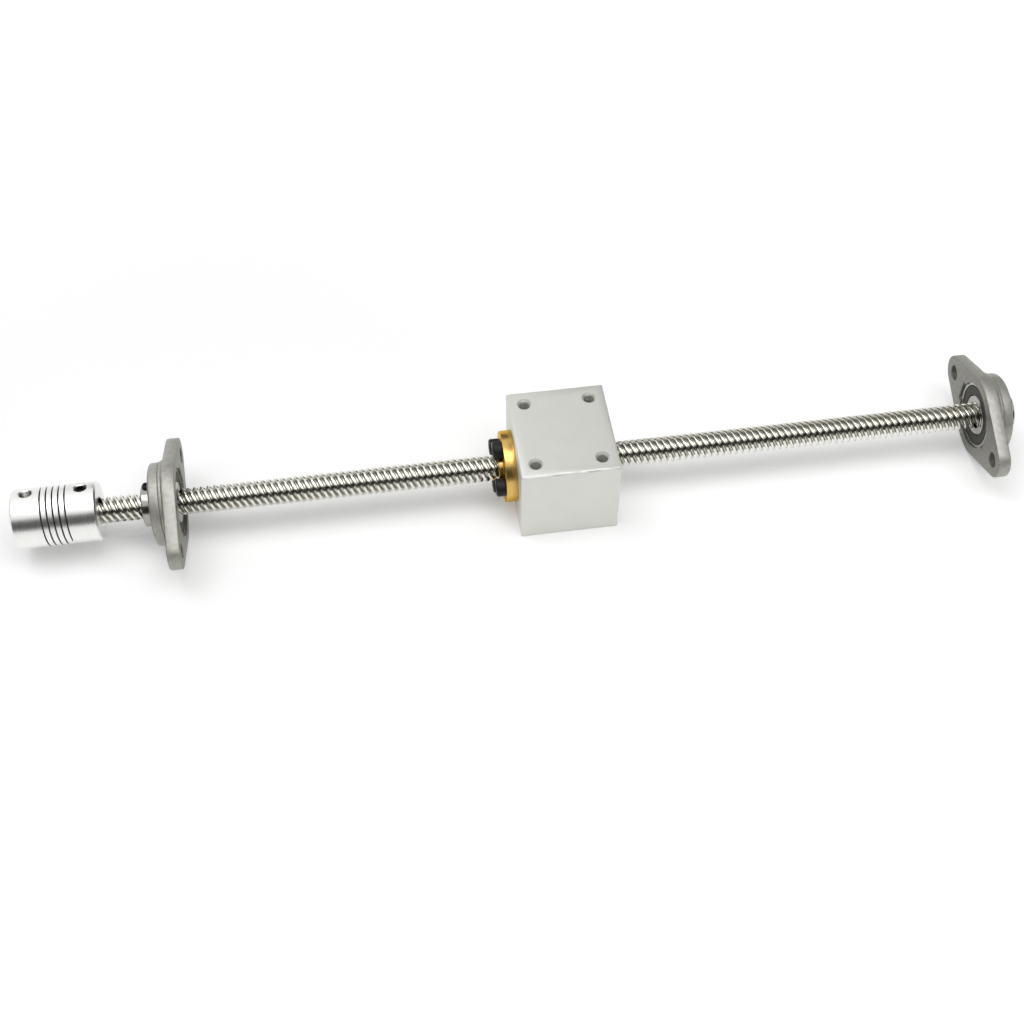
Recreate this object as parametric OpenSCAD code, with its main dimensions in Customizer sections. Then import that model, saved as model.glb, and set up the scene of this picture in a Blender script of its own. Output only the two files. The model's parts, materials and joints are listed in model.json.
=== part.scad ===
// Trapezoidal lead screw drive. A four-start screw turns in two flange bearings, carries
// a flanged nut in its block, and ends in a flexible coupling for the motor.
// X runs along the screw, Y is level and Z is up. The origin is on the screw's axis, at
// the mounting face of the drive bearing, the one beside the coupling.

/* [Lead screw] */
// Outside diameter of the screw
screw_d = 8; // [6:0.5:9]
// Length of the screw
screw_len = 295; // [220:5:350]
// Threads that run side by side
thread_starts = 4; // [1:1:4]
// Distance from one ridge to the next
thread_pitch = 2; // [1.75:0.25:3]
// Depth of the thread
thread_depth = 1.25; // [0.8:0.05:1.5]
// Slope of a thread flank
flank_angle = 15; // [10:1:20]

/* [Layout] */
// Length of screw held in the coupling
coupling_grip = 12.5; // [8:0.5:15]
// Gap between the coupling and the drive bearing's collar
coupling_gap = 12.7; // [5:0.1:30]
// Screw that stands out past the far bearing's collar
screw_tail = 0.4; // [0:0.1:10]
// Distance from the drive bearing's mounting face to the nut block
block_x = 101; // [20:1:110]

/* [Coupling] */
// Outside diameter of the coupling
coupling_d = 18; // [16:0.5:25]
// Length of the coupling
coupling_len = 25; // [23:0.5:35]
// Bore for the motor shaft
motor_bore_d = 5; // [3:0.5:8]
// Turns of the spiral cut
cut_turns = 4.5; // [2:0.25:5]
// Distance from one turn of the cut to the next
cut_pitch = 1.8; // [1.4:0.1:2]
// Width of the spiral cut
cut_width = 0.55; // [0.3:0.05:0.8]
// Thread diameter of the clamping screws
clamp_screw_d = 4; // [3:0.5:4.5]
// Distance of the clamping screws from their end of the coupling
clamp_inset = 4.5; // [3.5:0.25:5]
// Length of the clamping screws on the motor side
motor_screw_len = 4; // [3:0.5:5]

/* [Bearings] */
// Diameter of a ball
ball_d = 3.969; // [3:0.001:4.2]
// Balls in each bearing
ball_count = 7; // [5:1:8]
// Wall of the inner ring
inner_wall = 2.3; // [1.8:0.1:2.6]
// Wall of the outer ring behind its ball track
outer_wall = 1.525; // [1:0.025:2]
// Width of the outer ring
ring_w = 7; // [6:0.1:7.8]
// Length of inner ring that stands out of the housing as a collar
collar_out = 3; // [2.6:0.1:6]
// Thread diameter of the collar's set screws
collar_screw_d = 3; // [2:0.5:3]
// Length of the collar's set screws
collar_screw_len = 3.5; // [3:0.5:6]

/* [Bearing housings] */
// Length of the flange plate
plate_len = 48; // [46:0.5:56]
// Thickness of the flange plate
plate_t = 4; // [3:0.25:6]
// Distance between the two bolt holes
bolt_spacing = 37; // [35:0.5:40]
// Diameter of the bolt holes
bolt_hole_d = 4.8; // [4:0.1:5.5]
// Depth of a housing from its mounting face to its rim
housing_depth = 8.2; // [8:0.1:12]
// Wall of the housing's boss round the bearing
boss_wall = 1.6; // [1.2:0.1:3]
// Step from the boss out to the edge of the plate
plate_step = 0.9; // [0.5:0.1:2]
// Radius on the rim of the boss
rim_radius = 1; // [0.4:0.1:1.2]

/* [Nut] */
// Wall of the nut outside the thread
nut_wall = 1.1; // [1:0.1:2]
// Overall length of the nut
nut_len = 15; // [12:0.5:25]
// Thickness of the nut's flange
flange_t = 3.5; // [2.5:0.25:5]
// Length of the hub in front of the flange
hub_len = 1.5; // [0.5:0.25:3]
// Thread diameter of the nut's screws
nut_screw_d = 3; // [2:0.5:4]
// Length of the nut's screws under the head
nut_screw_len = 8; // [6:1:16]
// Screws round the nut
nut_screw_count = 4; // [3:1:4]

/* [Nut block] */
// Length of the block along the screw
block_len = 30; // [25:1:45]
// Width of the block across the screw
block_w = 34; // [32:1:50]
// Height of the block
block_h = 28; // [27.5:0.5:40]
// Distance between the top holes along the screw
top_hole_x = 20; // [14:1:21]
// Distance between the top holes across the screw
top_hole_y = 24; // [22:1:26]
// Thread diameter of the top holes
top_thread_d = 4; // [3:0.5:5]
// Depth of the top holes
top_hole_depth = 10; // [6:0.5:11]
// Chamfer on the edges of the block
block_chamfer = 0.4; // [0.2:0.1:1]

/* [Hidden] */
$fn = 96;

// Small gaps and reliefs
slip = 0.01;            // between pieces pushed together by hand
running_gap = 0.1;      // round a piece that turns
ball_gap = 0.08;        // between a ball and its tracks and pocket
seat_gap = 0.03;        // between the bearing and its round seat
edge_chamfer = 0.3;     // on turned edges
past = 1;               // how far a cutting shape runs past the face that it opens
drill_point = 118;      // angle of a drill's tip
set_screw_point = 0.15; // size of a set screw's point, as a share of its thread

// Thread
lead = thread_starts * thread_pitch;
crest_share = 0.366;    // width of a ridge's top, as a share of the pitch
crest_w = crest_share * thread_pitch;
flank_w = thread_depth * tan(flank_angle);
slices_per_turn = 9;

// Places along the screw
screw_r = screw_d / 2;
collar_end = housing_depth + collar_out;
coupling_end_x = -collar_end - coupling_gap;
coupling_x = coupling_end_x - coupling_len;
screw_x = coupling_end_x - coupling_grip;
far_x = screw_x + screw_len - screw_tail - collar_end;

// Coupling
cut_len = cut_turns * cut_pitch;
cut_start_angle = -13;
cut_steps = 24;         // for each turn of the cut
relief_depth = 0.5;     // taken off the bore where the cut runs
relief_margin = 0.75;   // relief left over at the two ends of the cut
relief_r = screw_r + relief_depth;
relief_len = cut_len + cut_width + relief_margin;
cut_inner_r = relief_r - 0.6 * relief_depth;
cut_outer_r = coupling_d / 2 + past;
coupling_chamfer = 0.5;
clamp_angles = [-45, 45];
coupling_turn = 119;    // roll that brings the clamping screws to the top and the back
motor_screw_back_off = 0.5;
motor_screw_r = motor_bore_d / 2 + motor_screw_back_off;

// Bearings
ball_r = ball_d / 2;
shoulder = 0.2 * ball_d; // how deep a ball sits in each ring
inner_ring_r = screw_r + inner_wall;
ball_circle_r = inner_ring_r - shoulder + ball_r;
outer_land_r = ball_circle_r + ball_r - shoulder;
insert_r = ball_circle_r + ball_r + outer_wall;
bearing_mid = housing_depth / 2;
ring_face = bearing_mid - ring_w / 2;
seal_t = 0.6;
seal_recess = 0.2;      // from the ring's face in to the seal
seal_seat_depth = 0.9;
seal_seat_r = outer_land_r + seal_seat_depth;
seal_lip_r = inner_ring_r + running_gap;
lip_height = 0.12;
lip_w = 0.5;
lip_slope = 0.25;
cage_t = 1.5;
cage_front = 1.2;       // from the balls' centres to the open side
cage_web = 0.45;        // behind the balls
cage_back = ball_r + cage_web;
collar_screw_inset = 1.9;
collar_screw_z = collar_end - collar_screw_inset;
collar_screw_angles = [22, 142];

// Housings
boss_r = insert_r + boss_wall;
plate_r = boss_r + plate_step;
plate_end_r = (plate_len - bolt_spacing) / 2;
slot_gap = 0.2;

// Nut and its screws
nut_body_r = screw_r + nut_wall;
head_share = 11 / 6;    // a socket head's width, as a share of its thread
key_share = 5 / 6;      // its hexagon, as a share of its thread
head_gap = 0.3;         // between the heads and the hub, across both
nut_hole_gap = 0.5;
nut_head_d = head_share * nut_screw_d;
nut_bolt_circle_d = 2 * nut_body_r + nut_head_d + head_gap;
flange_r = nut_bolt_circle_d / 2 + nut_screw_d;
nut_x = block_x - flange_t - hub_len;
nut_hole_d = nut_screw_d + nut_hole_gap;

// Block
block_bore_r = nut_body_r + running_gap;
tapped = 0.83;          // drilled diameter of a tapped hole, as a share of its thread
tap_runout = 2.5;
countersink_share = 1.1; // width of a countersink, as a share of its thread
countersink_r = countersink_share * top_thread_d / 2;

// Moves a piece drawn along Z to the drive bearing or the far bearing, with Z = 0 on the
// mounting face and Z pointing out through the collar
module at_drive() rotate([0, -90, 0]) children();
module at_far() translate([far_x, 0, 0]) rotate([0, 90, 0]) children();

// Points the children's Z along X, from the given place on the axis
module along_x(x) translate([x, 0, 0]) rotate([0, 90, 0]) children();

// Moves a piece drawn along Z, with Z = 0 on the motor's side, to the coupling
module at_coupling() along_x(coupling_x) rotate([0, 0, coupling_turn]) children();

// A solid of revolution with a chamfer on both rims and on both mouths of its bore
module turned_ring(outer_r, bore_r, h, chamfer)
    rotate_extrude()
        polygon([
            [bore_r, chamfer], [bore_r + chamfer, 0],
            [outer_r - chamfer, 0], [outer_r, chamfer],
            [outer_r, h - chamfer], [outer_r - chamfer, h],
            [bore_r + chamfer, h], [bore_r, h - chamfer]
        ]);

// A drilled hole from Z = 0 downwards, with its pointed end
module drilled(d, depth) {
    tip = d / 2 / tan(drill_point / 2);
    translate([0, 0, -depth]) cylinder(d = d, h = depth + past);
    translate([0, 0, -depth - tip]) cylinder(d1 = 0, d2 = d, h = tip);
}

// A hexagon socket cut from Z = 0 downwards
module hex_socket(width, depth)
    translate([0, 0, -depth]) cylinder(d = width / cos(30), h = depth + past, $fn = 6);

// A headless screw from radius r0 out to r1, pointing away from the Z axis
module set_screw(d, r0, r1, angle, z) {
    point = set_screw_point * d;
    r = d / 2 - slip;
    translate([0, 0, z]) rotate([0, 0, angle]) rotate([0, 90, 0])
        difference() {
            union() {
                translate([0, 0, r0]) cylinder(r1 = r - point, r2 = r, h = point);
                translate([0, 0, r0 + point]) cylinder(r = r, h = r1 - r0 - point);
            }
            translate([0, 0, r1]) hex_socket(d / 2, d / 2);
        }
}

// The hole for a set screw, from the axis outwards
module set_screw_hole(d, r, angle, z)
    translate([0, 0, z]) rotate([0, 0, angle]) rotate([0, 90, 0]) cylinder(d = d, h = r + past);

// One ridge of the thread in a slice across the screw: root, crest, crest, root
function ridge(a) = [
    for (p = [
        [-crest_w / 2 - flank_w, screw_r - thread_depth], [-crest_w / 2, screw_r],
        [crest_w / 2, screw_r], [crest_w / 2 + flank_w, screw_r - thread_depth]
    ])
        let (turn = a + p[0] * 360 / lead) [p[1] * cos(turn), p[1] * sin(turn)]
];

// Right-hand trapezoidal screw: the slice across all its ridges, twisted along its length
module lead_screw()
    color("lightgray")
        along_x(screw_x)
            linear_extrude(
                height = screw_len, twist = -360 * screw_len / lead,
                slices = round(screw_len / lead * slices_per_turn), segments = 4 * thread_starts
            )
                polygon([for (i = [0:thread_starts - 1]) each ridge(i * 360 / thread_starts)]);

// Section of the spiral cut at step i: four corners, from inside the relief to past the skin
function cut_corners(i) =
    let (a = cut_start_angle + 360 * i / cut_steps, z = cut_pitch * i / cut_steps)
    [
        for (p = [[cut_inner_r, -1], [cut_outer_r, -1], [cut_outer_r, 1], [cut_inner_r, 1]])
            [p[0] * cos(a), p[0] * sin(a), z + p[1] * cut_width / 2]
    ];

// The spiral cut as one swept slab that starts at Z = 0
module spiral_cut() {
    last = round(cut_turns * cut_steps);
    polyhedron(
        points = [for (i = [0:last]) each cut_corners(i)],
        faces = [
            [3, 2, 1, 0],
            for (i = [0:last - 1], j = [0:3])
                let (k = (j + 1) % 4)
                each [[4 * i + j, 4 * i + k, 4 * i + 4 + k], [4 * i + j, 4 * i + 4 + k, 4 * i + 4 + j]],
            [4 * last, 4 * last + 1, 4 * last + 2, 4 * last + 3]
        ]
    );
}

// Flexible coupling: a bore for each shaft, a relieved middle, and a spiral cut through its wall
module coupling_body()
    color("silver")
        at_coupling()
            difference() {
                turned_ring(coupling_d / 2, motor_bore_d / 2, coupling_len, coupling_chamfer);
                translate([0, 0, coupling_len / 2]) cylinder(r = screw_r + slip, h = coupling_len);
                translate([0, 0, (coupling_len - relief_len) / 2]) cylinder(r = relief_r, h = relief_len);
                translate([0, 0, (coupling_len - cut_len) / 2]) spiral_cut();
                for (a = clamp_angles, z = [clamp_inset, coupling_len - clamp_inset])
                    set_screw_hole(clamp_screw_d, coupling_d / 2, a, z);
            }

// Clamping screws that hold the lead screw, flush with the coupling
module coupling_screw_side_set_screws()
    color([0.1, 0.1, 0.1])
        at_coupling()
            for (a = clamp_angles)
                set_screw(clamp_screw_d, screw_r + slip, coupling_d / 2, a, coupling_len - clamp_inset);

// Clamping screws for the motor shaft, backed off out of the empty bore
module coupling_motor_side_set_screws()
    color([0.1, 0.1, 0.1])
        at_coupling()
            for (a = clamp_angles)
                set_screw(clamp_screw_d, motor_screw_r, motor_screw_r + motor_screw_len, a, clamp_inset);

// Outline of the flange plate: a round middle, two round ends and straight flanks between
module plate_outline() {
    c = bolt_spacing / 2;
    lean = acos((plate_r - plate_end_r) / c);
    wide = [plate_r * sin(lean), plate_r * cos(lean)];
    narrow = [plate_end_r * sin(lean), c + plate_end_r * cos(lean)];
    circle(r = plate_r);
    for (side = [-1, 1]) translate([0, side * c]) circle(r = plate_end_r);
    polygon([
        wide, narrow, [-narrow[0], narrow[1]], [-wide[0], wide[1]],
        -wide, -narrow, [narrow[0], -narrow[1]], [wide[0], -wide[1]]
    ]);
}

// Cast flange housing with a round seat that lets the bearing tilt, and two slots on its
// mounting face through which the bearing goes in on edge
module housing()
    color([0.55, 0.56, 0.54])
        difference() {
            union() {
                linear_extrude(plate_t) plate_outline();
                rotate_extrude() {
                    square([boss_r, housing_depth - rim_radius]);
                    square([boss_r - rim_radius, housing_depth]);
                    translate([boss_r - rim_radius, housing_depth - rim_radius]) circle(r = rim_radius);
                }
            }
            translate([0, 0, bearing_mid]) sphere(r = insert_r + seat_gap);
            translate([-ring_w / 2 - slot_gap, -insert_r - slot_gap, -past])
                cube([ring_w + 2 * slot_gap, 2 * (insert_r + slot_gap), bearing_mid + past]);
            for (side = [-1, 1])
                translate([0, side * bolt_spacing / 2, -past])
                    cylinder(d = bolt_hole_d, h = plate_t + 2 * past);
        }

// The groove that the balls run in
module ball_track()
    translate([0, 0, bearing_mid])
        rotate_extrude() translate([ball_circle_r, 0]) circle(r = ball_r + ball_gap);

// Outer ring, round like a ball outside, with a seat for a seal at each face
module outer_ring()
    color([0.75, 0.76, 0.76])
        difference() {
            intersection() {
                translate([0, 0, bearing_mid]) sphere(r = insert_r);
                translate([0, 0, ring_face]) cylinder(r = insert_r, h = ring_w);
            }
            translate([0, 0, ring_face - past]) cylinder(r = outer_land_r, h = ring_w + 2 * past);
            for (z = [ring_face - past, ring_face + ring_w - seal_recess - seal_t])
                translate([0, 0, z]) cylinder(r = seal_seat_r, h = seal_t + seal_recess + past);
            ball_track();
        }

// Inner ring, drawn out on one side into the collar that is screwed to the shaft
module inner_ring()
    color([0.8, 0.8, 0.8])
        difference() {
            translate([0, 0, ring_face])
                turned_ring(inner_ring_r, screw_r + slip, collar_end - ring_face, edge_chamfer);
            ball_track();
            for (a = collar_screw_angles) set_screw_hole(collar_screw_d, inner_ring_r, a, collar_screw_z);
        }

// The set of balls, evenly spaced round their track
module balls()
    color([0.85, 0.86, 0.88])
        for (i = [0:ball_count - 1])
            rotate([0, 0, i * 360 / ball_count])
                translate([ball_circle_r, 0, bearing_mid]) sphere(r = ball_r);

// Crown cage: a ring with open pockets for the balls on one side
module cage()
    color([0.75, 0.68, 0.5])
        difference() {
            translate([0, 0, bearing_mid - cage_front])
                cylinder(r = ball_circle_r + cage_t / 2, h = cage_front + cage_back);
            translate([0, 0, bearing_mid - cage_front - past])
                cylinder(r = ball_circle_r - cage_t / 2, h = cage_front + cage_back + 2 * past);
            for (i = [0:ball_count - 1])
                rotate([0, 0, i * 360 / ball_count])
                    translate([ball_circle_r, 0, bearing_mid]) sphere(r = ball_r + ball_gap);
        }

// Rubber seal pressed into the outer ring, with a raised lip round the inner ring
module inboard_seal()
    color([0.2, 0.2, 0.2])
        translate([0, 0, ring_face + seal_recess])
            rotate_extrude()
                polygon([
                    [seal_lip_r, -lip_height], [seal_lip_r + lip_w, -lip_height],
                    [seal_lip_r + lip_w + lip_slope, 0],
                    [seal_seat_r, 0], [seal_seat_r, seal_t], [seal_lip_r, seal_t]
                ]);

// The same seal on the collar's side
module outboard_seal() translate([0, 0, housing_depth]) mirror([0, 0, 1]) inboard_seal();

// Set screws that lock the collar to the lead screw
module collar_set_screws()
    color([0.1, 0.1, 0.1])
        for (a = collar_screw_angles)
            set_screw(collar_screw_d, screw_r + slip, screw_r + slip + collar_screw_len, a, collar_screw_z);

// Puts the children on the nut's bolt circle, one for each screw
module round_the_nut()
    for (i = [0:nut_screw_count - 1])
        rotate([0, 0, i * 360 / nut_screw_count]) translate([nut_bolt_circle_d / 2, 0, 0]) children();

// Brass nut: a short hub, the flange, and the body that goes into the block. Its thread is
// taken at the outside diameter of the screw, with running room.
module nut()
    color([0.85, 0.67, 0.3])
        along_x(nut_x)
            difference() {
                union() {
                    turned_ring(nut_body_r, screw_r + running_gap, nut_len, edge_chamfer);
                    translate([0, 0, hub_len])
                        turned_ring(flange_r, screw_r + running_gap, flange_t, edge_chamfer);
                }
                translate([0, 0, hub_len]) round_the_nut()
                    translate([0, 0, -past]) cylinder(d = nut_hole_d, h = flange_t + 2 * past);
            }

// A rectangle with its corners cut off
module chamfered_rectangle(w, h, c)
    polygon([
        [c - w / 2, -h / 2], [w / 2 - c, -h / 2], [w / 2, c - h / 2], [w / 2, h / 2 - c],
        [w / 2 - c, h / 2], [c - w / 2, h / 2], [-w / 2, h / 2 - c], [-w / 2, c - h / 2]
    ]);

// A block centred on the origin with all twelve edges chamfered
module chamfered_block(size, c)
    intersection() {
        rotate([90, 0, 90]) linear_extrude(size[0], center = true) chamfered_rectangle(size[1], size[2], c);
        rotate([90, 0, 0]) linear_extrude(size[1], center = true) chamfered_rectangle(size[0], size[2], c);
        linear_extrude(size[2], center = true) chamfered_rectangle(size[0], size[1], c);
    }

// Nut block: bored through for the nut, with tapped holes for the nut's screws in its end
// and four tapped mounting holes in its top
module nut_block()
    color([0.83, 0.84, 0.82])
        difference() {
            translate([block_x + block_len / 2, 0, 0])
                chamfered_block([block_len, block_w, block_h], block_chamfer);
            along_x(block_x - past) cylinder(r = block_bore_r, h = block_len + 2 * past);
            along_x(block_x) round_the_nut() mirror([0, 0, 1])
                drilled(nut_screw_d, nut_screw_len - flange_t + tap_runout);
            translate([block_x + block_len / 2, 0, block_h / 2])
                for (x = [-1, 1], y = [-1, 1])
                    translate([x * top_hole_x / 2, y * top_hole_y / 2, 0]) {
                        drilled(tapped * top_thread_d, top_hole_depth);
                        translate([0, 0, -countersink_r])
                            cylinder(r1 = 0, r2 = countersink_r, h = countersink_r);
                    }
        }

// Socket head screws that hold the nut to its block
module nut_screws()
    color([0.1, 0.1, 0.1])
        along_x(block_x - flange_t)
            round_the_nut()
                difference() {
                    union() {
                        cylinder(d = nut_screw_d - 2 * slip, h = nut_screw_len);
                        translate([0, 0, edge_chamfer - nut_screw_d])
                            cylinder(d = nut_head_d, h = nut_screw_d - edge_chamfer);
                        translate([0, 0, -nut_screw_d])
                            cylinder(d1 = nut_head_d - 2 * edge_chamfer, d2 = nut_head_d, h = edge_chamfer);
                    }
                    translate([0, 0, -nut_screw_d]) mirror([0, 0, 1])
                        hex_socket(key_share * nut_screw_d, nut_screw_d / 2);
                }

lead_screw();
coupling_body();
coupling_screw_side_set_screws();
coupling_motor_side_set_screws();
at_drive() housing();  // drive_housing
at_drive() outer_ring();  // drive_outer_ring
at_drive() inner_ring();  // drive_inner_ring
at_drive() balls();  // drive_balls
at_drive() cage();  // drive_cage
at_drive() inboard_seal();  // drive_inboard_seal
at_drive() outboard_seal();  // drive_outboard_seal
at_drive() collar_set_screws();  // drive_collar_set_screws
at_far() housing();  // far_housing
at_far() outer_ring();  // far_outer_ring
at_far() inner_ring();  // far_inner_ring
at_far() balls();  // far_balls
at_far() cage();  // far_cage
at_far() inboard_seal();  // far_inboard_seal
at_far() outboard_seal();  // far_outboard_seal
at_far() collar_set_screws();  // far_collar_set_screws
nut();
nut_block();
nut_screws();
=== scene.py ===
# %% [markdown]
# # A trapezoidal lead screw drive
# The object is a linear drive for a small machine. A four-start steel screw turns in two
# flange bearings. A brass nut, screwed to an aluminium block, travels along it. On the left
# end sits a flexible coupling that would take a motor's shaft.
# The solids come from CAD with their true sizes. Here each one gets the finish of the real
# material, and most get a finer mesh with the small rounded edges that catch the light.

# %% Load the frame
import json
from math import acos, cos, pi, radians, sin, tan

import bmesh
import bpy
from mathutils import Matrix, Vector


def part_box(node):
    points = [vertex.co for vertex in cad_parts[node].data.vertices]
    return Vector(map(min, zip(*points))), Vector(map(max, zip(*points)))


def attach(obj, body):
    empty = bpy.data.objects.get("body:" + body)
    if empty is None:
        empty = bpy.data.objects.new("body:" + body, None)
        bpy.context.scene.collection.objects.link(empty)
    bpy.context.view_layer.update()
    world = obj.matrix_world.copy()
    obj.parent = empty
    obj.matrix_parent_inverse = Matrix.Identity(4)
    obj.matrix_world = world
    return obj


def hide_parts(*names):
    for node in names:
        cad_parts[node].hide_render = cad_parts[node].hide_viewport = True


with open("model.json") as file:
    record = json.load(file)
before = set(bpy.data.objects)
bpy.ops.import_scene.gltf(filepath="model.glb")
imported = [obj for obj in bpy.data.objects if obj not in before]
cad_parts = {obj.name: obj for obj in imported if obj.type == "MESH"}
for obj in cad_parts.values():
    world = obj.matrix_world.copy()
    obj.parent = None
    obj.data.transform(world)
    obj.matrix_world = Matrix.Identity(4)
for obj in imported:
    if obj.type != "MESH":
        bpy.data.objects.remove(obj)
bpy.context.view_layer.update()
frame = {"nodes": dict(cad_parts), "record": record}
nodes = frame["nodes"]
mm = 0.001

# %% [markdown]
# ## Sizes
# Sizes come from the CAD nodes' own boxes wherever they can, so a new pack carries through.
# A box says nothing of the holes, so those that a finish and a shape share are named here.
# Everything below is in millimetres, with X along the screw, Y level and Z up.

# %% Measure the CAD nodes
def low(node):
    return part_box(node)[0] / mm


def high(node):
    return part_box(node)[1] / mm


screw_start, screw_end = low("lead_screw").x, high("lead_screw").x
coupling_start, coupling_end = low("coupling_body").x, high("coupling_body").x
coupling_r = high("coupling_body").z
block_low, block_high = low("nut_block"), high("nut_block")
block_middle_x = (block_low.x + block_high.x) / 2
drive_face, far_face = high("drive_housing").x, low("far_housing").x
print(f"screw {screw_start:.1f} to {screw_end:.1f}, far face at {far_face:.1f}")

# %% Sizes of the screw and of the holes
screw_r, shaft_bore_r = 4, 4.01
# The block's four holes stand this far from its middle along X and Y
block_hole_x, block_hole_y, block_hole_r = 10, 12, 2
# A housing's two bolt holes stand this far from its middle, which holds a round seat
bolt_offset, bolt_hole_r, seat_ball_r = 18.5, 2.4, 11.03
print(f"holes {2 * block_hole_x} x {2 * block_hole_y} on the block, {2 * bolt_offset} on a housing")

# %% [markdown]
# ## The camera
# The camera stands where the photographer stood: in front of the block, left of its middle,
# and looking down at 52 degrees. The place and the lens come from matching the screw's
# ridges, the round parts and the block's corners.

# %% Place the camera
camera_at = Vector((59.559, -296.661, 360.094))
camera_yaw, camera_down, camera_roll = radians(-7.859), radians(51.991), radians(-0.179)
camera = bpy.data.objects.new("camera", bpy.data.cameras.new("camera"))
bpy.context.scene.collection.objects.link(camera)
turn = Matrix.Rotation(camera_yaw, 4, "Z") @ Matrix.Rotation(pi / 2 - camera_down, 4, "X")
roll = Matrix.Rotation(camera_roll, 4, "Z")
camera.matrix_world = Matrix.Translation(camera_at * mm) @ turn @ roll
camera.data.sensor_width = 36
camera.data.lens = 53.63
camera.data.clip_start = 0.01
bpy.context.scene.camera = camera
print("camera at", [round(v) for v in camera_at])

# %% [markdown]
# ## Colour and nodes
# Colours are written as they look on a screen, in hex, and turned to the linear values that
# Blender's shaders work in. One small function adds a node, sets it and links it.

# %% Colour and node helpers
def linear(hex_colour):
    shares = [int(hex_colour[i:i + 2], 16) / 255 for i in (1, 3, 5)]
    return [s / 12.92 if s <= 0.04045 else ((s + 0.055) / 1.055) ** 2.4 for s in shares] + [1]


def add_node(tree, kind, sockets=None, **settings):
    """Adds a node. A socket's value is either a number or colour, or another node's output."""
    node = tree.nodes.new(kind)
    for name, value in settings.items():
        setattr(node, name, value)
    for name, value in (sockets or {}).items():
        if isinstance(value, bpy.types.NodeSocket):
            tree.links.new(value, node.inputs[name])
        else:
            node.inputs[name].default_value = value
    return node


def start_material(name, hex_colour, metallic, roughness):
    """A named material with its shader's main values set."""
    material = bpy.data.materials.new(name)
    material.use_nodes = True
    tree = material.node_tree
    shader = tree.nodes["Principled BSDF"]
    shader.inputs["Base Color"].default_value = linear(hex_colour)
    shader.inputs["Metallic"].default_value = metallic
    shader.inputs["Roughness"].default_value = roughness
    print("material:", name)
    return material, tree, shader

# %% [markdown]
# ## Where a point lies on a piece
# A finish often depends on the place: oil sits in the grooves, a rim is rubbed bright, a hole
# is dull. These helpers turn the object's own coordinates into distances in millimetres.

# %% Places and distances
def in_millimetres(tree):
    """The object's own coordinates, turned from metres to millimetres."""
    place = add_node(tree, "ShaderNodeTexCoord")
    return add_node(tree, "ShaderNodeVectorMath", {0: place.outputs["Object"], "Scale": 1 / mm},
                    operation="SCALE").outputs[0]


def coordinates(tree):
    """The same coordinates, as three outputs named X, Y and Z."""
    return add_node(tree, "ShaderNodeSeparateXYZ", {0: in_millimetres(tree)}).outputs


def distance_from(tree, value, middle):
    """How far a coordinate is from a middle, on either side of it."""
    offset = add_node(tree, "ShaderNodeMath", {0: value, 1: middle}, operation="SUBTRACT")
    return add_node(tree, "ShaderNodeMath", {0: offset.outputs[0]}, operation="ABSOLUTE").outputs[0]


def distance_from_axis(tree, first, second):
    """How far a point is from an axis, by its two distances across that axis."""
    across = add_node(tree, "ShaderNodeCombineXYZ", {"X": first, "Y": second})
    return add_node(tree, "ShaderNodeVectorMath", {0: across.outputs[0]},
                    operation="LENGTH").outputs["Value"]

# %% [markdown]
# ## Patterns that several finishes share
# A cast or blasted skin is a fine grain in every direction. A turned face carries the fine
# rings of the lathe tool, so its grain is thin along the axis and endless round it.
# Each pattern changes the height, the roughness and a little of the colour.

# %% Grain and turning marks
def grain(tree, size_mm, detail=3, stretch=(1, 1, 1)):
    """Noise whose grains are about size_mm across, stretched along X, Y and Z."""
    place = add_node(tree, "ShaderNodeVectorMath", {0: in_millimetres(tree), 1: stretch},
                     operation="MULTIPLY")
    sockets = {"Vector": place.outputs[0], "Scale": 1 / size_mm, "Detail": detail}
    return add_node(tree, "ShaderNodeTexNoise", sockets).outputs["Fac"]


def tool_rings(tree, spacing_mm):
    """Noise that is the same all the way round the X axis: rings on turned faces and walls."""
    at = coordinates(tree)
    radius = distance_from_axis(tree, at["Y"], at["Z"])
    rings = add_node(tree, "ShaderNodeCombineXYZ", {"X": at["X"], "Y": radius})
    sockets = {"Vector": rings.outputs[0], "Scale": 1 / spacing_mm, "Detail": 2}
    return add_node(tree, "ShaderNodeTexNoise", sockets).outputs["Fac"]

# %% From a pattern to a surface
def spread(tree, value, lowest, highest, start=0.3, end=0.7):
    """Maps start to end onto lowest to highest. Noise lies mostly between 0.3 and 0.7."""
    sockets = {"Value": value, "From Min": start, "From Max": end,
               "To Min": lowest, "To Max": highest}
    return add_node(tree, "ShaderNodeMapRange", sockets).outputs["Result"]


def tint(tree, factor, first, second):
    """Blends two colours by a pattern. Each is in hex or the colour output of another node."""
    first, second = [linear(c) if isinstance(c, str) else c for c in (first, second)]
    return add_node(tree, "ShaderNodeMix", {0: factor, 6: first, 7: second},
                    data_type="RGBA").outputs[2]


def raise_surface(tree, shader, height, depth_mm):
    """Bump: the pattern's full range stands for depth_mm."""
    sockets = {"Height": height, "Distance": depth_mm * mm, "Strength": 1}
    bump = add_node(tree, "ShaderNodeBump", sockets)
    tree.links.new(bump.outputs[0], shader.inputs["Normal"])
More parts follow.
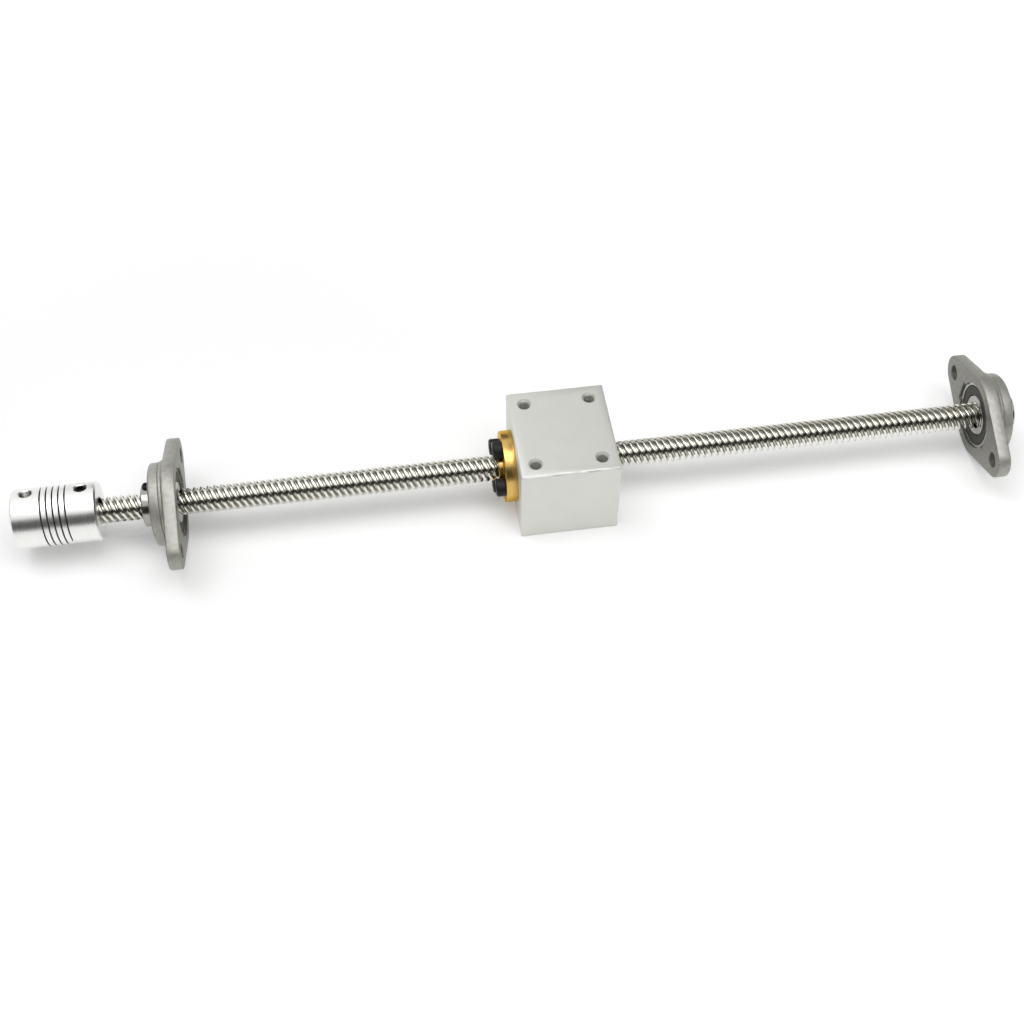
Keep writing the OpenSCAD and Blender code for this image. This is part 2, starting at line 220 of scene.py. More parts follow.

# %% [markdown]
# ## Rolled steel, for the screw
# The thread is rolled, not cut: hardened dies squeeze it into a bright rod. Its crests are
# burnished, its flanks smooth, and the grooves hold a little dark oil. The colour follows the
# distance from the axis, from the dark root to the bright crest: the darker root is partly that
# oil and partly painted shade in the grooves.

# %% Rolled steel
rolled_steel, tree, shader = start_material("rolled_steel", "#C9C8C3", 1, 0.2)
at = coordinates(tree)
radius = distance_from_axis(tree, at["Y"], at["Z"])
height = spread(tree, radius, 0, 1, screw_r - 1.2, screw_r - 0.3)
smudge = grain(tree, 1.2)
# Dark at the root, bright at the crest: oil, and painted shade in the grooves
unoiled_unshaded = add_node(tree, "ShaderNodeMath", {0: height, 1: spread(tree, smudge, -0.15, 0.15)},
                 operation="ADD", use_clamp=True)
colour = tint(tree, unoiled_unshaded.outputs[0], "#AEADA2", "#E6E5DE")
tree.links.new(colour, shader.inputs["Base Color"])
tree.links.new(spread(tree, smudge, 0.12, 0.24), shader.inputs["Roughness"])
raise_surface(tree, shader, grain(tree, 0.25), 0.004)

# %% [markdown]
# ## Turned aluminium, for the coupling
# The coupling is turned from bar and left bright, so fine rings run round it and stretch the
# reflection of a lamp along its length. Inside the slit and the holes, below the skin, the
# colour is darker, apart from the two end faces: that is painted shade.

# %% Turned aluminium
turned_aluminium, tree, shader = start_material("turned_aluminium", "#DADAD6", 1, 0.34)
rings = tool_rings(tree, 0.22)
at = coordinates(tree)
radius = distance_from_axis(tree, at["Y"], at["Z"])
below_skin = spread(tree, radius, 1, 0, coupling_r - 0.6, coupling_r - 0.15)
half_length = (coupling_end - coupling_start) / 2
from_middle = distance_from(tree, at["X"], coupling_start + half_length)
not_an_end = spread(tree, from_middle, 1, 0, half_length - 0.3, half_length - 0.2)
# Painted shade: darker below the skin, in the slit, the bores and the holes, but not on the end
# faces
painted_recess_shade = add_node(tree, "ShaderNodeMath", {0: below_skin, 1: not_an_end}, operation="MULTIPLY")
bright = tint(tree, rings, "#EDEDEA", "#F6F6F4")
tree.links.new(tint(tree, painted_recess_shade.outputs[0], bright, "#9C9C97"), shader.inputs["Base Color"])
tree.links.new(spread(tree, rings, 0.26, 0.34), shader.inputs["Roughness"])
raise_surface(tree, shader, rings, 0.0008)

# %% [markdown]
# ## Anodised aluminium, for the block
# The block is sawn from a bar, blasted matt and anodised clear. The oxide skin looks like
# pale grey paint from afar: it spreads reflections widely but still brightens at the edges.
# Two marks are painted from the place of a point on the block: white nicks along the edge
# at the front, which are wear and a painted highlight along that edge, and a darker colour
# inside the four tapped holes, which is painted shade.

# %% Anodised aluminium
anodised_aluminium, tree, shader = start_material("anodised_aluminium", "#E0E0DC", 0.65, 0.45)
blasted = grain(tree, 0.3)
skin = tint(tree, grain(tree, 6), "#DFDFDA", "#E7E7E2")
at = coordinates(tree)

# The edge that faces the front and the top is where Z - Y is greatest
front = add_node(tree, "ShaderNodeMath", {0: at["Z"], 1: at["Y"]}, operation="SUBTRACT")
sharp_edge = block_high.z - block_low.y
edge = spread(tree, front.outputs[0], 0, 1, sharp_edge - 1, sharp_edge - 0.7)
nicks = spread(tree, grain(tree, 0.9, 2, (0.3, 1, 1)), 0, 1, 0.4, 0.48)
# The white nicks along this edge are wear, and a painted highlight on the edge
edge_wear_and_highlight = add_node(tree, "ShaderNodeMath", {0: edge, 1: nicks}, operation="MULTIPLY").outputs[0]

# The tapped holes: how far a point is from the nearest hole's axis
from_hole = [distance_from(tree, distance_from(tree, at[axis], middle), half_spacing)
             for axis, middle, half_spacing in (("X", block_middle_x, block_hole_x),
                                                ("Y", 0, block_hole_y))]
from_axis = distance_from_axis(tree, *from_hole)
inside = spread(tree, from_axis, 1, 0, block_hole_r + 0.02, block_hole_r + 0.1)
below = spread(tree, at["Z"], 1, 0, block_high.z - 1.6, block_high.z - 0.5)
# Painted shade: darker inside the tapped holes, below their mouths
painted_hole_shade = add_node(tree, "ShaderNodeMath", {0: inside, 1: below}, operation="MULTIPLY").outputs[0]

colour = tint(tree, painted_hole_shade, tint(tree, edge_wear_and_highlight, skin, "#FBFBF9"), "#A2A29B")
tree.links.new(colour, shader.inputs["Base Color"])
tree.links.new(spread(tree, edge_wear_and_highlight, 0.65, 0.1, 0, 1), shader.inputs["Metallic"])
tree.links.new(spread(tree, blasted, 0.38, 0.48), shader.inputs["Roughness"])
raise_surface(tree, shader, blasted, 0.012)

# %% [markdown]
# ## Die-cast zinc, for the housings
# Zinc alloy pressed into a steel die comes out with a dull, slightly mottled grey skin. The
# skin is thin oxide, so the finish is part metal and part grey powder that scatters light.
# Tumbling rubs the outer rims bright, and the colour also paints light and shade by the way a
# face looks: the rims are lighter and the faces that lie across X darker, with painted shade
# inside the holes and the seat.

# %% Die-cast zinc
die_cast_zinc, tree, shader = start_material("die_cast_zinc", "#C0BFB9", 0.5, 0.42)
skin = grain(tree, 0.4, 4)
mottle = grain(tree, 1.4, 5)
normal = add_node(tree, "ShaderNodeTexCoord").outputs["Normal"]
normal_x = add_node(tree, "ShaderNodeSeparateXYZ", {0: normal}).outputs["X"]
face = spread(tree, distance_from(tree, normal_x, 0), 0, 1, 0.3, 0.85)

# The two bolt holes and the seat in the middle
at = coordinates(tree)
side = distance_from(tree, at["Y"], 0)
insides = []
for centre, edge_r in ((bolt_offset, bolt_hole_r + 0.05), (0, seat_ball_r + 0.07)):
    from_axis = distance_from_axis(tree, distance_from(tree, side, centre), at["Z"])
    insides.append(spread(tree, from_axis, 1, 0, edge_r, edge_r + 0.15))
inside = add_node(tree, "ShaderNodeMath", {0: insides[0], 1: insides[1]}, operation="MAXIMUM")
# Painted shade: the faces across X and the insides of the holes and the seat take the darker colour
painted_shade_faces_holes = add_node(tree, "ShaderNodeMath", {0: inside.outputs[0], 1: face}, operation="MAXIMUM")

# The rims' lighter colour is painted light, with some wear from tumbling
rubbed = tint(tree, mottle, "#97968F", "#C1C0BA")
shaded_colour = tint(tree, mottle, "#75746E", "#9C9B95")
tree.links.new(tint(tree, painted_shade_faces_holes.outputs[0], rubbed, shaded_colour), shader.inputs["Base Color"])
tree.links.new(spread(tree, skin, 0.36, 0.52), shader.inputs["Roughness"])
raise_surface(tree, shader, skin, 0.045)

# %% [markdown]
# ## Ground bearing steel, for rings and balls
# The rings are hardened and ground, so they mirror the room with fine marks round the axis.
# The balls are lapped between two plates until no mark is left, so only their roughness
# varies, and hardly.

# %% Ground bearing steel and lapped steel
bearing_steel, tree, shader = start_material("bearing_steel", "#A5A49F", 1, 0.2)
rings = tool_rings(tree, 0.15)
tree.links.new(spread(tree, rings, 0.14, 0.28), shader.inputs["Roughness"])
raise_surface(tree, shader, rings, 0.001)

lapped_steel, tree, shader = start_material("lapped_steel", "#DADBDD", 1, 0.05)
tree.links.new(spread(tree, grain(tree, 0.8), 0.04, 0.08), shader.inputs["Roughness"])

# %% [markdown]
# ## Nylon and rubber, inside the bearings
# The cage is moulded nylon in its natural cream. The seals are moulded nitrile rubber, dark
# and even, with only a soft sheen. Neither is a metal, so the index of refraction sets how
# much they reflect, which is a few percent of the light.

# %% Moulded nylon and nitrile rubber
nylon, tree, shader = start_material("natural_nylon", "#D9CFAF", 0, 0.45)
shader.inputs["IOR"].default_value = 1.53
tree.links.new(tint(tree, grain(tree, 0.8), "#D3C8A6", "#DFD6B9"), shader.inputs["Base Color"])

nitrile_rubber, tree, shader = start_material("nitrile_rubber", "#2A2A25", 0, 0.6)
shader.inputs["IOR"].default_value = 1.52
matt = grain(tree, 0.2)
tree.links.new(tint(tree, grain(tree, 1.5), "#24241F", "#32322C"), shader.inputs["Base Color"])
tree.links.new(spread(tree, matt, 0.48, 0.66), shader.inputs["Roughness"])
raise_surface(tree, shader, matt, 0.01)

# %% [markdown]
# ## Black oxide steel, for the screws
# The screws are boiled in a salt bath that turns their skin into black oxide, then oiled.
# The oil gives the black a sheen, so the finish counts as half metal, and handling has rubbed
# it unevenly, which the grain in the colour and the roughness shows.

# %% Black oxide steel
black_oxide, tree, shader = start_material("black_oxide_steel", "#151516", 0.5, 0.34)
rubbed = grain(tree, 0.4)
tree.links.new(tint(tree, rubbed, "#101011", "#1F1F20"), shader.inputs["Base Color"])
tree.links.new(spread(tree, rubbed, 0.3, 0.46), shader.inputs["Roughness"])
raise_surface(tree, shader, rubbed, 0.006)

# %% [markdown]
# ## Turned brass, for the nut
# Free-cutting brass comes off the lathe yellow and bright, with rings from the tool. The
# colour of a metal is the colour of its reflections, so the yellow sits in the base colour of
# a full metal. A paler tint is for the reflections that one sees along the surface.

# %% Turned brass
turned_brass, tree, shader = start_material("turned_brass", "#DDB86E", 1, 0.2)
shader.inputs["Specular Tint"].default_value = linear("#F2DCA6")
rings = tool_rings(tree, 0.2)
tree.links.new(tint(tree, rings, "#CDA659", "#E3BF74"), shader.inputs["Base Color"])
tree.links.new(spread(tree, rings, 0.24, 0.32), shader.inputs["Roughness"])
raise_surface(tree, shader, rings, 0.001)

# %% [markdown]
# ## Give every CAD node its finish
# A node that stays as it is takes its material here. A finer piece that replaces a node takes
# the same one, so the finish is chosen in one place.

# %% Finishes by material slot
finishes = {
    "screw_steel": rolled_steel, "turned_aluminium": turned_aluminium,
    "die_cast_zinc": die_cast_zinc, "anodised_aluminium": anodised_aluminium,
    "bearing_steel": bearing_steel, "ball_steel": lapped_steel, "cage_nylon": nylon,
    "seal_rubber": nitrile_rubber, "black_steel": black_oxide, "nut_brass": turned_brass,
}
record = frame["record"]
slot_of = {part["node"]: part["material_slot"] for part in record["subparts"]}
body_of = {node: body for body, names in record["behaviour"]["bodies"].items() for node in names}
for name, node in nodes.items():
    node.data.materials.clear()
    node.data.materials.append(finishes[slot_of[name]])
print("finishes:", len(finishes))

# %% [markdown]
# ## A finer piece in place of a node
# Each piece below is modelled in millimetres, in a frame of its own whose Z axis is the
# piece's axis, and then moved to its place on the screw. When it is done it is turned to
# metres, takes the finish of the node that it replaces, and rides on the same body.

# %% Places and finishing
along_x = Matrix.Rotation(pi / 2, 4, "Y")
at_bearing = {
    "drive": Matrix.Translation((drive_face, 0, 0)) @ Matrix.Rotation(-pi / 2, 4, "Y"),
    "far": Matrix.Translation((far_face, 0, 0)) @ along_x,
}
# The coupling's screws face the way that the photograph shows
coupling_turn = Matrix.Rotation(radians(119), 4, "Z")
at_coupling = Matrix.Translation((coupling_start, 0, 0)) @ along_x @ coupling_turn
at_nut = Matrix.Translation((low("nut").x, 0, 0)) @ along_x
at_block = Matrix.Translation((block_middle_x, 0, 0))


def finish_piece(piece, name, node, place, sharp_angle=32):
    """Moves a piece to its place, turns it to metres and lets it stand for a CAD node."""
    piece.name = name
    piece.data.transform(Matrix.Scale(mm, 4) @ place)
    piece.data.materials.clear()
    piece.data.materials.append(finishes[slot_of[node]])
    piece.data.shade_smooth()
    piece.data.set_sharp_from_angle(angle=radians(sharp_angle))
    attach(piece, body_of[node])
    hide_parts(node)
    print(f"{name}: {sum(len(p.vertices) - 2 for p in piece.data.polygons)} triangles")

# %% [markdown]
# ## Solids from outlines
# Most parts of this drive are made on a lathe. On the machine a tool follows an outline while
# the bar turns, and a lathe function does the same: it spins an outline of (height, radius)
# pairs round the Z axis. Real corners are never quite sharp, so each one is rounded a little,
# and that thin curve is what draws a bright line along an edge in the picture.

# %% Meshes and outlines
def make_solid(points, faces, place=Matrix()):
    """A closed mesh object in millimetres with all its faces looking outwards."""
    mesh = bpy.data.meshes.new("solid")
    mesh.from_pydata([place @ Vector(p) for p in points], [], faces)
    work = bmesh.new()
    work.from_mesh(mesh)
    bmesh.ops.recalc_face_normals(work, faces=work.faces)
    work.to_mesh(mesh)
    work.free()
    piece = bpy.data.objects.new("solid", mesh)
    bpy.context.scene.collection.objects.link(piece)
    return piece


def rounded(outline, radius, steps=3):
    """Rounds the corners of a closed outline. A corner with a third number has its own radius."""
    result = []
    for i, corner in enumerate(outline):
        here = Vector(corner[:2])
        back = Vector(outline[i - 1][:2]) - here
        on = Vector(outline[(i + 1) % len(outline)][:2]) - here
        wanted = (corner[2] if len(corner) > 2 else radius) / tan(back.angle(on) / 2)
        reach = min(wanted, 0.45 * back.length, 0.45 * on.length)
        first, last = here + back.normalized() * reach, here + on.normalized() * reach
        for k in range(steps + 1):
            t = k / steps
            result.append(tuple((1 - t) ** 2 * first + 2 * t * (1 - t) * here + t * t * last))
    return result

# %% The lathe
def polar(r, turn, z):
    """The point at radius r and height z after a turn round the Z axis."""
    return r * cos(turn), r * sin(turn), z


def loft(rings, closed=False):
    """Faces between rings of points. The first and last ring are capped, or joined if closed."""
    n, count = len(rings[0]), len(rings)
    points = [p for ring in rings for p in ring]
    faces = []
    for i in range(count if closed else count - 1):
        here, following = i * n, (i + 1) % count * n
        faces += [(here + j, here + (j + 1) % n, following + (j + 1) % n, following + j)
                  for j in range(n)]
    if not closed:
        faces += [list(range(n))[::-1], list(range((count - 1) * n, count * n))]
    return points, faces


def lathe(outline, steps=128):
    """Spins a closed outline of (height, radius) round the Z axis."""
    return loft([[polar(r, 2 * pi * i / steps, z) for z, r in outline] for i in range(steps)],
                closed=True)


def rod(outline, steps=64):
    """Spins an open outline of (height, radius) round the Z axis and closes both ends."""
    return loft([[polar(r, 2 * pi * i / steps, z) for i in range(steps)] for z, r in outline])

# %% [markdown]
# ## Cutting
# Holes, slots and threads are cut as in the workshop: a solid with the tool's shape is taken
# away from the piece. The exact boolean keeps the new edges where the tool passed.

# %% Cut and join
def apply_modifier(piece, kind, **settings):
    """Adds a modifier and keeps its result as the piece's mesh."""
    modifier = piece.modifiers.new(kind, kind)
    for name, value in settings.items():
        setattr(modifier, name, value)
    shape = piece.evaluated_get(bpy.context.evaluated_depsgraph_get())
    mesh = bpy.data.meshes.new_from_object(shape)
    piece.modifiers.clear()
    piece.data = mesh


def cut(piece, tools, operation="DIFFERENCE"):
    """Cuts solids out of a piece, as drills and mills do, and throws the tools away."""
    for tool in tools:
        apply_modifier(piece, "BOOLEAN", object=tool, operation=operation, solver="EXACT")
        bpy.data.objects.remove(tool)
    return piece


def join(pieces):
    """Several separate solids as one object."""
    first = pieces[0]
    work = bmesh.new()
    for piece in pieces:
        work.from_mesh(piece.data)
    work.to_mesh(first.data)
    work.free()
    for piece in pieces[1:]:
        bpy.data.objects.remove(piece)
    return first

# %% [markdown]
# ## Threads
# Every thread here is one ridge wound round a rod. A slice across the rod has the ridge's
# shape laid out round it, and turning that slice a little at each step along the rod sweeps
# the helix. The same function makes the trapezoidal screw, the small fasteners and the taps
# that cut the threads in the holes.

# %% Sweep a thread
def thread(ridge, pitch, starts, length, slices_per_turn, taper=0):
    """A right-hand thread along Z. ridge lists (distance along the thread, radius)."""
    lead = pitch * starts
    slices = max(2, round(length / lead * slices_per_turn) + 1)
    rings = []
    for i in range(slices):
        z = length * i / (slices - 1)
        shrink = taper * max(0, 1 - min(z, length - z) / pitch)
        rings.append([polar(r - shrink, (k * pitch + u + z) / lead * 2 * pi, z)
                      for k in range(starts) for u, r in ridge])
    return loft(rings)


def metric_ridge(r, depth, pitch, points=18):
    """A pointed ridge with rounded root and crest, as small screws have."""
    places = [(i + 0.5) / points - 0.5 for i in range(points)]
    return [(u * pitch, r - depth * min(1, max(0, 2.5 * abs(u) - 0.1))) for u in places]


m3_pitch, m4_pitch = 0.5, 0.7

# %% [markdown]
# ## The screw
# Its thread is trapezoidal: 2 mm from ridge to ridge, four starts, so one turn moves the nut
# by 8 mm. The thread is rolled, which leaves rounded corners at root and crest.

# %% The screw
pitch, starts, thread_depth = 2, 4, 1.25
lead = pitch * starts
crest, flank, corner = 0.366 * pitch, thread_depth * tan(radians(15)), 0.09
screw_slices = 22


def trapezoid_ridge(r, depth, widen=0):
    """Points across one ridge, root to root, with rounded corners."""
    c, root = crest / 2 + widen, r - depth
    half = [(0, r), (c - corner, r), (c, r - 0.35 * corner), (c + 0.04, r - 1.6 * corner),
            (c + flank - 0.04, root + 1.6 * corner), (c + flank, root + 0.35 * corner),
            (c + flank + corner, root)]
    return [(-u, v) for u, v in half[:0:-1]] + half + [(pitch / 2, root)]


screw = make_solid(*thread(trapezoid_ridge(screw_r, thread_depth), pitch, starts,
                           screw_end - screw_start, screw_slices, taper=0.5))
at_screw = Matrix.Translation((screw_start, 0, 0)) @ along_x
finish_piece(screw, "rolled_screw", "lead_screw", at_screw, 50)

# %% [markdown]
# ## The coupling
# The coupling is turned from aluminium bar, bored for each shaft, hollowed in the middle, and
# then slit by a thin cutter that follows a helix. The slit lets it bend a little, so that a
# motor that isn't quite in line does no harm. The slit's edges are broken afterwards, which
# gives each turn of it a fine bright rim.

# %% The coupling's body
length = coupling_end - coupling_start
middle = length / 2
slit_pitch, slit_turns, slit_width, slit_first_turn = 1.8, 4.5, 0.5, radians(-13)
motor_bore_r, relief_r, slit_floor_r = 2.5, 4.5, 4.2
chamfer, flare, broken_edge = 0.5, 0.5, 0.04
relief = (slit_pitch * slit_turns + slit_width + 0.75) / 2
outline = [(chamfer, motor_bore_r), (0, motor_bore_r + chamfer), (0, coupling_r - chamfer),
           (chamfer, coupling_r), (length - chamfer, coupling_r),
           (length, coupling_r - chamfer), (length, screw_r + chamfer),
           (length - chamfer, shaft_bore_r), (middle + relief, shaft_bore_r),
           (middle + relief, relief_r), (middle - relief, relief_r),
           (middle - relief, motor_bore_r)]
coupling = make_solid(*lathe(rounded(outline, 0.12), steps=160))

# %% Its spiral slit
rim, wall = coupling_r - broken_edge, slit_width / 2 - broken_edge
cutter = [(slit_floor_r, -wall), (rim, -wall), (rim + flare, -wall - flare),
          (rim + flare, wall + flare), (rim, wall), (slit_floor_r, wall)]
slit_steps = 80
slit_rings = []
for i in range(round(slit_turns * slit_steps) + 1):
    turn = slit_first_turn + 2 * pi * i / slit_steps
    z = middle + slit_pitch * (i / slit_steps - slit_turns / 2)
    slit_rings.append([polar(r, turn, z + offset) for r, offset in cutter])
cut(coupling, [make_solid(*loft(slit_rings))])
print(f"slit of {slit_turns} turns, {slit_width} mm wide")

# %% The holes for its clamping screws
clamp_turns, clamp_inset = [radians(-45), radians(45)], 4.5


def outwards(turn, z):
    """A frame whose Z axis points away from the piece's axis."""
    upright = Matrix.Translation((0, 0, z)) @ Matrix.Rotation(turn, 4, "Z")
    return upright @ Matrix.Rotation(pi / 2, 4, "Y")


for z in (clamp_inset, length - clamp_inset):
    for turn in clamp_turns:
        place = outwards(turn, z)
        tap = thread(metric_ridge(2, 0.3, m4_pitch), m4_pitch, 1, coupling_r + 1.5, 16)
        mouth = rod([(coupling_r - 0.42, 1.7), (coupling_r - 0.12, 2.06), (coupling_r + 0.3, 2.4)])
        cut(coupling, [make_solid(*tap, place), make_solid(*mouth, place)])
finish_piece(coupling, "slit_coupling", "coupling_body", at_coupling)

# %% [markdown]
# ## Set screws
# A set screw has no head. It has a thread all along, a small point, and a hexagon socket in
# the end that faces out, with a cone below the hexagon left by the drill.

# %% A set screw
def hex_socket(width, depth, top):
    """The hole for a hexagon key, with a bevelled mouth and a drilled cone at its bottom."""
    corner_r = width / 2 / cos(pi / 6)
    outline = [(top - depth - 0.3 * width, 0.05), (top - depth, 0.94 * corner_r),
               (top - depth, corner_r), (top - 0.12 * width, corner_r),
               (top + 0.05, 1.16 * corner_r), (top + 0.3, 1.16 * corner_r)]
    return rod(outline, steps=6)


def set_screw(diameter, pitch, start, end, place):
    """A set screw from radius start to radius end, pointing out along the place's Z axis."""
    r = diameter / 2 - 0.01
    ridge = metric_ridge(r, 0.55 * pitch, pitch)
    body = thread(ridge, pitch, 1, end - start, 20, taper=0.18 * diameter)
    screw = make_solid(*body, Matrix.Translation((0, 0, start)))
    cut(screw, [make_solid(*hex_socket(diameter / 2, diameter / 2, end))])
    screw.data.transform(place)
    return screw


for side_name, z, start, end in (("screw_side", length - clamp_inset, shaft_bore_r, coupling_r),
                                 ("motor_side", clamp_inset, 3, 7)):
    screws = [set_screw(4, m4_pitch, start, end, outwards(turn, z)) for turn in clamp_turns]
    finish_piece(join(screws), f"coupling_{side_name}_grub_screws",
                 f"coupling_{side_name}_set_screws", at_coupling, 40)

# %% [markdown]
# ## The bearing inserts
# Each bearing has an outer ring that is round like a ball outside, so that it can tilt in its
# housing, and an inner ring that runs out on one side into a collar. Two rubber seals close
# the gap. Rings are ground, so their corners are small and even.

# %% Ring and seal outlines
# Heights are counted from the housing's flat face. The balls run in the middle of the ring,
# in tracks a little wider than they are.
bearing_mid, insert_r = 4.1, 11
ball_circle_r, track_r = 7.4907, 2.0645
ring_low, ring_high, collar_end = 0.6, 7.6, 11.2
land_r, seat_r, inner_r = 8.6814, 9.5814, 6.3
seal_depth, collar_edge = 0.8, 0.3


def arc(z, radius, r, start, end, steps):
    """Points of an arc in an outline, from start to end, in degrees from +Z towards +radius."""
    turns = [radians(start + (end - start) * i / steps) for i in range(steps + 1)]
    return [(z + r * cos(t), radius + r * sin(t)) for t in turns]


# The degrees at which the ball-shaped outside and the ball tracks end
sphere_edge, outer_track_edge, inner_track_edge = 71.5, 54.8, 35
outer_outline = (
    arc(bearing_mid, 0, insert_r, 180 - sphere_edge, sphere_edge, 24)
    + [(ring_high, seat_r), (ring_high - seal_depth, seat_r), (ring_high - seal_depth, land_r)]
    + arc(bearing_mid, ball_circle_r, track_r, outer_track_edge, 180 - outer_track_edge, 10)
    + [(ring_low + seal_depth, land_r), (ring_low + seal_depth, seat_r), (ring_low, seat_r)])
# The inner ring's face has a shallow turned groove
inner_outline = (
    [(ring_low, shaft_bore_r + collar_edge), (ring_low, 4.75), (ring_low + 0.12, 4.85),
     (ring_low + 0.12, 5.35), (ring_low, 5.45), (ring_low, inner_r - collar_edge),
     (ring_low + collar_edge, inner_r)]
    + arc(bearing_mid, ball_circle_r, track_r, 180 + inner_track_edge, 360 - inner_track_edge, 10)
    + [(collar_end - collar_edge, inner_r), (collar_end, inner_r - collar_edge),
       (collar_end, shaft_bore_r + collar_edge), (collar_end - collar_edge, shaft_bore_r),
       (ring_low + collar_edge, shaft_bore_r)])
# The seal has a lip on the inner ring, two fine beads, and its outer edge in the outer ring
seal_outline = [(0, 6.9), (-0.12, 6.75), (-0.12, 6.45), (0.1, 6.4), (0.6, 6.4),
                (0.6, seat_r), (0, seat_r), (0, 9.25), (0.09, 9.1), (0.09, 8.9), (0, 8.75),
                (0, 7.5), (0.07, 7.35), (0.07, 7.05)]
print(f"outlines of {len(outer_outline)}, {len(inner_outline)} and {len(seal_outline)} points")

# %% Rings, seals and collar screws at both bearings
collar_turns, collar_screw_z, collar_screw_end = [radians(22), radians(142)], 9.3, 7.51
for side, place in at_bearing.items():
    outer = make_solid(*lathe(rounded(outer_outline, 0.05, 1), steps=160))
    finish_piece(outer, side + "_ground_outer_ring", side + "_outer_ring", place, 25)
    inner = make_solid(*lathe(rounded(inner_outline, 0.08, 2)))
    for turn in collar_turns:
        tap = thread(metric_ridge(1.5, 0.22, m3_pitch), m3_pitch, 1, 7, 16)
        cut(inner, [make_solid(*tap, outwards(turn, collar_screw_z))])
    finish_piece(inner, side + "_ground_inner_ring", side + "_inner_ring", place, 25)
    for end, z, flip in (("inboard", ring_low + 0.2, 1), ("outboard", ring_high - 0.2, -1)):
        outline = [(z + flip * h, r) for h, r in rounded(seal_outline, 0.05, 2)]
        seal = make_solid(*lathe(outline))
        finish_piece(seal, f"{side}_{end}_lip_seal", f"{side}_{end}_seal", place, 25)
    screws = [set_screw(3, m3_pitch, shaft_bore_r, collar_screw_end, outwards(turn, collar_screw_z))
              for turn in collar_turns]
    finish_piece(join(screws), side + "_grub_screws", side + "_collar_set_screws", place, 40)

# %% [markdown]
# ## The housings
# A housing is pressed from zinc in a die. To leave the die its corners must be round, and a
# soft fillet runs where the round boss meets the plate. The plate's outline is a large circle,
# two small ones and the straight lines that touch them, so an outline drawn a little smaller
# has the same form, and a stack of such outlines gives the plate its rounded edge.

# %% The plate's outline
plate_r, plate_end_r = 13.5, 5.5


def plate_outline(inset, steps=28):
    """The flange plate's outline, drawn smaller by inset, as points in order round it."""
    big, small = plate_r - inset, plate_end_r - inset
    lean = acos((big - small) / bolt_offset)
    # Four arcs: an end, a long side, the other end and the other long side
    stops = [lean, -lean, lean - pi, -lean - pi, lean - 2 * pi]
    points = []
    for centre, r, start, end in zip((bolt_offset, 0, -bolt_offset, 0),
                                     (small, big, small, big), stops, stops[1:]):
        turns = [start + (end - start) * i / steps for i in range(steps + 1)]
        points += [(r * sin(t), centre + r * cos(t)) for t in turns]
    return points

# %% The housing's layers and outlines
# The plate is a stack of (height, inset) layers, with a rounded edge at both faces
plate_layers = [(0, 0.35), (0.1, 0.12), (0.35, 0), (3.2, 0), (3.65, 0.13), (3.9, 0.4), (4, 0.8)]
# The boss: a fillet on the plate, a step with a fine line round it, and a rounded top
boss_outline = [(2, 12), (3.7, 13.4), (3.98, 13.25), (4.2, 13.02), (4.75, 12.98), (4.92, 12.9),
                (4.98, 12.7), (5.02, 12.45), (5.1, 12.5), (5.2, 12.6), (7.2, 12.58),
                (7.72, 12.42), (8.02, 12.1), (8.2, 11.6)]
# The seat is hollow like a ball, with a bevelled mouth at both faces
seat_ball = arc(bearing_mid, 0, seat_ball_r, 158, 22, 48)
seat_outline = ([(-1, 10.9), (-0.02, 10.42)] + [p for p in seat_ball if 0.12 < p[0] < 8.08]
                + [(8.22, 10.42), (9.2, 10.9)])
# The slot through which the bearing goes in, edge on, before it is turned into its seat
slot_x, slot_y = 3.7, 11.2
slot = [(-slot_x, -slot_y), (slot_x, -slot_y), (slot_x, slot_y), (-slot_x, slot_y)]
bolt_drill = [(-1, bolt_hole_r + 1.2), (0.2, bolt_hole_r), (3.75, bolt_hole_r),
              (4, bolt_hole_r + 0.2), (5, bolt_hole_r + 1.2)]
print(f"plate of {len(plate_layers)} layers, boss of {len(boss_outline)} points")

# %% Both housings
for side, place in at_bearing.items():
    layers = [[(x, y, z) for x, y in plate_outline(inset)] for z, inset in plate_layers]
    boss = make_solid(*rod(boss_outline, steps=160))
    housing = cut(make_solid(*loft(layers)), [boss], "UNION")
    tools = [make_solid(*rod(seat_outline, steps=160)),
             make_solid(*loft([[(x, y, z) for x, y in slot] for z in (-1, bearing_mid)]))]
    for y in (-bolt_offset, bolt_offset):
        tools.append(make_solid(*rod(bolt_drill), Matrix.Translation((0, y, 0))))
    cut(housing, tools)
    finish_piece(housing, side + "_cast_housing", side + "_housing", place, 28)

# %% [markdown]
# ## The nut
# The nut is turned from brass and threaded inside to match the screw, with a little play at
# the flanks and more over the crests, as the standard asks.
# Its thread keeps step with the screw's, so the two mesh at every place along the travel.
# The tool that cuts it is the screw's own ridge, drawn larger by the play.

# %% The nut
nut_length, hub, flange_end, flange_r, nut_r = 15, 1.5, 5, 11, 5.1
play, crest_relief = 0.1, 0.25
nut_bolts, nut_bolt_r = 4, 8


def at_nut_bolt(k, z=0):
    """The place of the nut's bolt k on its circle, at height z."""
    return Matrix.Rotation(k * 2 * pi / nut_bolts, 4, "Z") @ Matrix.Translation((nut_bolt_r, 0, z))


